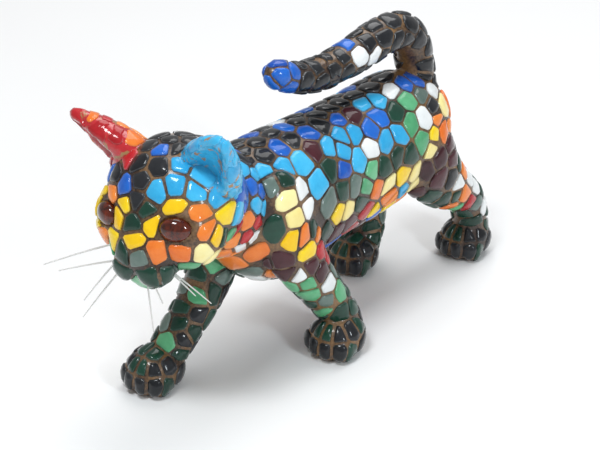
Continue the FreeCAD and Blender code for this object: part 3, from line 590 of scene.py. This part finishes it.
def read_slabs():
    """Every slab but the slivers, as (group, slab)."""
    found, slivers = [], 0
    for name in TILE_NODES:
        group = joined_copy([name])
        read = [slab_outline(island) for island in islands(group)]
        group.free()
        whole = [slab for slab in read if thinness(slab[3]) > THINNEST] or read
        slivers += len(read) - len(whole)
        found += [(name, slab) for slab in whole]
    print("slivers left out:", slivers)
    return found


def neighbours(slabs):
    """A search tree of all outlines and both eyes, and the number of the owner of each point."""
    owners, points = [], []
    for number, (_, slab) in enumerate(slabs):
        along_edges = in_space(slab, edge_points(slab[3]))
        points.extend(along_edges)
        owners.extend([number] * len(along_edges))
    for name in EYES:
        glass = [vertex.co for vertex in nodes[name].data.vertices]
        points.extend(glass)
        owners.extend([EYE_OWNER] * len(glass))
    near = KDTree(len(points))
    for i, point in enumerate(points):
        near.insert(Vector(point), i)
    near.balance()
    return near, owners


def evened_out(slabs):
    """The slabs, grown into the free room around them: {group: [slab, ...]}."""
    near, owners = neighbours(slabs)
    reach = JOINT + 2 * MOST_GROWTH
    groups = {}
    for number, (name, slab) in enumerate(slabs):
        flat = slab[3]
        middles = (flat + np.roll(flat, -1, axis=0)) / 2
        flat = np.stack([flat, middles], axis=1).reshape(-1, 2)
        grown = []
        for i, point in enumerate(in_space(slab, flat)):
            around = near.find_range(Vector(point), reach)
            others = [(far, owners[other]) for _, other, far in around if owners[other] != number]
            room, whose = min(others, default=(reach, number))
            growth = max(room - JOINT, 0) / (1 if whose == EYE_OWNER else 2)
            if i % 2 == 0 or growth > EDGE_GROWTH:
                grown.append(flat[i] * (1 + growth / np.linalg.norm(flat[i])))
        groups.setdefault(name, []).append((*slab[:3], np.array(grown)))
    return groups


found_slabs = read_slabs()
slabs = evened_out(found_slabs)
print(f"joints evened out round {len(found_slabs)} tiles")

# %% [markdown]
# A glazed tile has a steep side, a soft shoulder and a nearly flat top. Five rings and one middle
# point are enough for that, or about eighty faces for each tile. No two tiles are alike, so every
# outline gets a slight wobble, every top a slight lean, and every tile a tone of its own.

# %% Fill an outline with rings
# Each ring: its share of the outline, and its height above the grout in millimetres
RINGS = [(1.0, -0.55), (1.0, 0.26), (0.95, 0.62), (0.83, 0.86), (0.48, 1.03)]
CROWN = 1.10
WOBBLE = 0.028
LEAN = 0.06
EAR_RELIEF = 0.5


def patch(centre, along, across, flat, vertices, faces, marks):
    """Adds one tile to growing lists of points, faces and (rise, rim, tone) marks."""
    outline = rounded(flat)
    wobble = 1 + np.array([chance.uniform(-WOBBLE, WOBBLE) for _ in outline])
    outline = outline * wobble[:, None]
    tone = chance.random()
    lean = np.array([chance.uniform(-LEAN, LEAN), chance.uniform(-LEAN, LEAN)])
    start, count = len(vertices), len(outline)
    for share, height in RINGS:
        for point in outline * share:
            vertices.append(centre + along * point[0] + across * point[1])
            tipped = height + (point @ lean) / MM if height > 0 else height
            marks.append((tipped * MM, share, tone))
    for ring in range(len(RINGS) - 1):
        for i in range(count):
            a, b = start + ring * count + i, start + ring * count + (i + 1) % count
            faces.append((a, b, b + count, a + count))
    vertices.append(centre)
    marks.append((CROWN * MM, 0.0, tone))
    last = start + (len(RINGS) - 1) * count
    for i in range(count):
        faces.append((last + i, last + (i + 1) % count, len(vertices) - 1))
    faces.append(tuple(start + i for i in reversed(range(count))))


def lay_tiles(name):
    """Drapes every tile of one CAD group on the bed, as one piece."""
    vertices, faces, marks = [], [], []
    for slab in slabs[name]:
        patch(*slab, vertices, faces, marks)
    mesh = bpy.data.meshes.new(name)
    mesh.from_pydata(vertices, [], faces)
    for column, title in enumerate(("rise", "rim", "tone")):
        layer = mesh.attributes.new(title, "FLOAT", "POINT")
        layer.data.foreach_set("value", [mark[column] for mark in marks])
    mesh.shade_smooth()
    glaze_name = name.split("_tiles_")[1]
    flat_tiles = new_object(name + "_laid", mesh)
    relief = EAR_RELIEF if name.startswith("ears") else 1.0
    laid = run_tree(flat_tiles, DRAPE, Bed=bed, Relief=relief, Glaze=glazes[glaze_name])
    laid.data.attributes.remove(laid.data.attributes["rise"])
    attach(laid, "root")
    "glaze_" + glaze_name
    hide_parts(name)
    return len(laid.data.polygons)


total = sum(lay_tiles(name) for name in TILE_NODES)
print(f"tiles draped: {total} faces in {len(TILE_NODES)} pieces")
bpy.data.objects.remove(bed)

# %% [markdown]
# ## Glass eyes
# A cabochon is an ellipsoid. The CAD model's own is cut into flat triangles, which a hard reflection
# would show, so its three axes are measured and a finely divided ball is stretched to them. It is
# pushed a little away from the middle of the head, to stand clear of the grout.

# %% Eyes
EYE_PUSH = 0.7 * MM
head_middle = sum((Vector(corner) for corner in nodes["head_core"].bound_box), Vector()) / 8


def eye(name):
    mesh = nodes[name].data
    points = np.array([tuple(vertex.co) for vertex in mesh.vertices])
    corners = np.unique(np.round(points, 7), axis=0)
    middle = (corners.max(axis=0) + corners.min(axis=0)) / 2
    ball = bmesh.new()
    bmesh.ops.create_icosphere(ball, subdivisions=4, radius=1.0)
    axes = np.linalg.eigh(np.cov((corners - middle).T))[1]
    if np.linalg.det(axes) < 0:
        axes[:, 0] *= -1
    reach = np.abs((corners - middle) @ axes).max(axis=0)
    out = middle - np.array(head_middle)
    out /= np.linalg.norm(out)
    for vertex in ball.verts:
        vertex.co = Vector(middle + out * EYE_PUSH + axes @ (np.array(vertex.co) * reach))
    made = bpy.data.meshes.new(name + "_glass")
    ball.to_mesh(made)
    ball.free()
    made.shade_smooth()
    made.materials.append(EYE)
    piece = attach(new_object(name + "_glass", made), "root")
    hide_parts(name)
    print(f"{name}: {', '.join(f'{2 * r / MM:.1f}' for r in reach)} mm")


for name in EYES:
    eye(name)

# %% [markdown]
# ## Whiskers
# Each whisker is a bristle that leaves the pad stiffly, droops a little and thins towards its tip.
# It repeats along a path, which is work for Geometry Nodes: a path of a few points becomes a curve,
# its radius shrinks along its length, and a round profile is swept along it.

# %% The bristle tree
def bristle_tree():
    tree, start, end = new_tree(
        "bristles",
        [("Girth", "NodeSocketFloat"), ("Tip share", "NodeSocketFloat"), ("Nylon", "NodeSocketMaterial")],
    )
    link = tree.links.new
    curve = node_in(tree, "GeometryNodeMeshToCurve")
    along = node_in(tree, "GeometryNodeSplineParameter")
    taper = node_in(tree, "ShaderNodeMapRange")
    profile = node_in(tree, "GeometryNodeCurvePrimitiveCircle")
    profile.inputs["Resolution"].default_value = 10
    half = node_in(tree, "ShaderNodeMath", operation="MULTIPLY")
    half.inputs[1].default_value = 0.5
    sweep = node_in(tree, "GeometryNodeCurveToMesh")
    sweep.inputs["Fill Caps"].default_value = True
    real = node_in(tree, "GeometryNodeRealizeInstances")
    smooth = node_in(tree, "GeometryNodeSetShadeSmooth")
    paint = node_in(tree, "GeometryNodeSetMaterial")
    link(start.outputs["Geometry"], curve.inputs["Mesh"])
    link(along.outputs["Factor"], taper.inputs["Value"])
    taper.inputs["To Min"].default_value = 1.0
    link(start.outputs["Tip share"], taper.inputs["To Max"])
    link(start.outputs["Girth"], half.inputs[0])
    link(half.outputs[0], profile.inputs["Radius"])
    link(curve.outputs["Curve"], sweep.inputs["Curve"])
    link(profile.outputs["Curve"], sweep.inputs["Profile Curve"])
    link(taper.outputs["Result"], sweep.inputs["Scale"])
    link(sweep.outputs["Mesh"], real.inputs["Geometry"])
    link(real.outputs["Geometry"], smooth.inputs["Geometry"])
    link(smooth.outputs["Geometry"], paint.inputs["Geometry"])
    link(start.outputs["Nylon"], paint.inputs["Material"])
    link(paint.outputs["Geometry"], end.inputs["Geometry"])
    return tree


BRISTLES = bristle_tree()
WHISKER_GIRTH = 0.9 * MM
TIP_SHARE = 0.5
STEPS = 14
DROOP = 0.045


def whiskers(name):
    """Turns the straight rods of one CAD group into bristles that droop."""
    rods = joined_copy([name])
    points, edges = [], []
    for island in islands(rods):
        corners = corners_of(island)
        middle = corners.mean(axis=0)
        axis = np.linalg.svd(corners - middle, full_matrices=False)[2][0]
        if axis[2] > 0:
            axis = -axis
        reach = np.abs((corners - middle) @ axis).max()
        root = middle - axis * reach
        for step in range(STEPS + 1):
            share = step / STEPS
            sag = DROOP * reach * 2 * (share - share ** 2) * chance.uniform(0.9, 1.1)
            points.append(root + axis * 2 * reach * share + np.array([0, 0, sag]))
            if step:
                edges.append((len(points) - 2, len(points) - 1))
    rods.free()
    mesh = bpy.data.meshes.new(name)
    mesh.from_pydata(points, edges, [])
    paths = new_object(name + "_bristles", mesh)
    laid = run_tree(paths, BRISTLES, Girth=WHISKER_GIRTH, Tip_share=TIP_SHARE, Nylon=NYLON)
    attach(laid, "root")
    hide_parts(name)
    print(f"{name}: {len(laid.data.polygons)} faces")


for name in ("left_whiskers", "right_whiskers"):
    whiskers(name)

# %% [markdown]
# ## Hidden pins
# The dowels stay as the CAD model made them, inside the castings; they only get their wood.

# %% Pins
PINS = sorted(name for name in nodes if name.endswith("_pin"))
for name in PINS:
    nodes[name].data.materials.clear()
    nodes[name].data.materials.append(WOOD)
print("pins:", ", ".join(PINS))

# %% [markdown]
# ## Floor, light and camera
# Glossy tiles are mostly seen by what they reflect. A pale room gives the soft grey, and a few
# large, evenly lit panels give the crisp window-like streaks that make the glaze look wet.

# %% Floor and sky
HALF_FLOOR = 4.0
SKY_STRENGTH = 0.40


def pale_floor():
    paper = Bench("pale_floor").finish(Base_Color=rgba((0.86, 0.86, 0.86)), Roughness=0.85)
    mesh = bpy.data.meshes.new("floor")
    corners = [(x * HALF_FLOOR, y * HALF_FLOOR, 0) for x, y in ((-1, -1), (1, -1), (1, 1), (-1, 1))]
    mesh.from_pydata(corners, [], [(0, 1, 2, 3)])
    mesh.materials.append(paper)
    floor = new_object("floor", mesh)
    floor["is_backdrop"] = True


def sky(strength):
    world = bpy.data.worlds.new("studio")
    bpy.context.scene.world = world
    world.use_nodes = True
    backdrop = world.node_tree.nodes["Background"]
    backdrop.inputs["Color"].default_value = (1.0, 1.0, 1.0, 1.0)
    backdrop.inputs["Strength"].default_value = strength


pale_floor()
sky(SKY_STRENGTH)
bpy.context.scene.view_settings.view_transform = "Standard"

# %% [markdown]
# A light or a camera is easiest to place as a photographer would: walk round the subject by some
# degrees, raise the stand, step back, and aim. Two small cool windows make the highlights, and a
# wide panel above fills the shadows. Colours are shown with the plain Standard view, because the
# default one is made for scenes of high contrast and pales such bright glazes.

# %% Light panels
low, high = cad_box
middle = (low + high) / 2


def aimed(name, data, aim, azimuth, elevation, distance):
    """Places a light or a camera round a point, in degrees and metres, and aims it at the point."""
    a, e = math.radians(azimuth), math.radians(elevation)
    away = Vector((math.sin(a) * math.cos(e), -math.cos(a) * math.cos(e), math.sin(e)))
    thing = new_object(name, data)
    thing.location = aim + away * distance
    thing.rotation_euler = away.to_track_quat("Z", "Y").to_euler()
    return thing


def panel(name, place, wide, tall, watts, tint=(1.0, 1.0, 1.0)):
    """A flat light that looks at the middle of the figure from (azimuth, elevation, distance)."""
    lamp = bpy.data.lights.new(name, "AREA")
    lamp.shape = "RECTANGLE"
    lamp.size, lamp.size_y = wide, tall
    lamp.energy = watts
    lamp.color = tint
    aimed(name, lamp, middle, *place)
    print(f"{name}: {watts} W")


panel("window", (10, 60, 0.9), wide=0.27, tall=0.17, watts=4.2, tint=(0.93, 0.97, 1.0))
panel("side_window", (80, 26, 0.9), wide=0.11, tall=0.24, watts=2.6, tint=(0.86, 0.94, 1.0))
panel("ceiling", (200, 62, 1.3), wide=1.0, tall=1.0, watts=10)

# %% Camera
LENS = 101.25
AIM = Vector((6.0, -6.2, 53.8)) * MM
portrait = bpy.data.cameras.new("camera")
portrait.lens = LENS
portrait.sensor_width = 36
bpy.context.scene.camera = aimed("camera", portrait, AIM, azimuth=40.3, elevation=26.65, distance=0.743)
print(f"camera with a {LENS} mm lens")

# %% [markdown]
# ## The sizes at the end
# The CAD model's box and the box of what is shown are both printed, side by side. The looks
# must stay inside the CAD model's box.

# %% Sizes and finish
seen_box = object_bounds()
sizes = {"cad": [list(corner) for corner in cad_box], "visual": [list(corner) for corner in seen_box]}
print("CAD box, mm:", [[round(c / MM, 1) for c in corner] for corner in sizes["cad"]])
print("seen box, mm:", [[round(c / MM, 1) for c in corner] for corner in sizes["visual"]])
